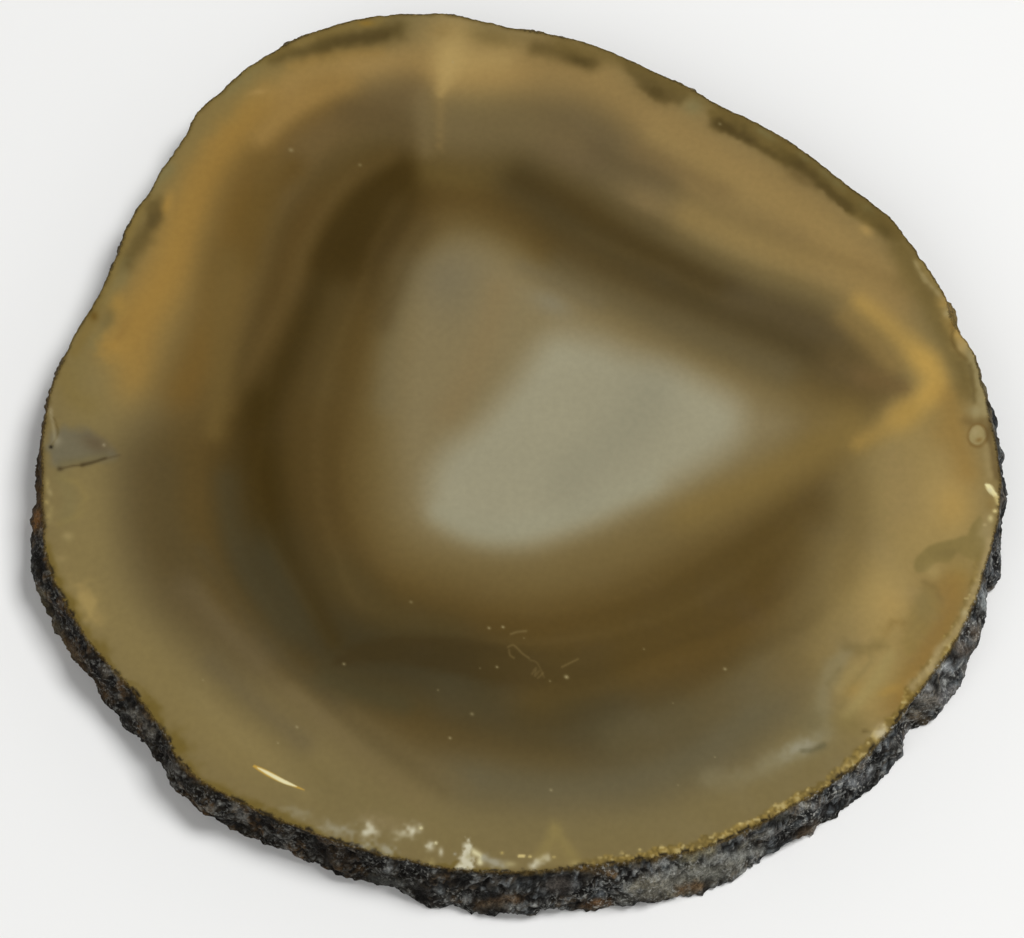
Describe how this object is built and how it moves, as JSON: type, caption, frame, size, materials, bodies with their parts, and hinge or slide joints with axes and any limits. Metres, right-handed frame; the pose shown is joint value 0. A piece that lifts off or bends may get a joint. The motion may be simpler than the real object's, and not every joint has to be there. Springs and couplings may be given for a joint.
{
  "type": "agate slice",
  "caption": "Flat slab of banded brown agate, polished on top, with the nodule's rough dark bark left on all round its edge.",
  "frame": {"origin": "middle of the bounding box of the sawn underside, on the surface that the slice lies on", "axes": "+Z is the normal of the polished face; +Y points to the far rim of the slab as pictured and +X to its right rim"},
  "size_m": [0.1336, 0.1362, 0.008],
  "materials": {
    "agate": "polished brown banded chalcedony with a rough dark bark round its edge"
  },
  "bodies": {
    "root": {"agate_slice": "agate"}
  },
  "joints": []
}
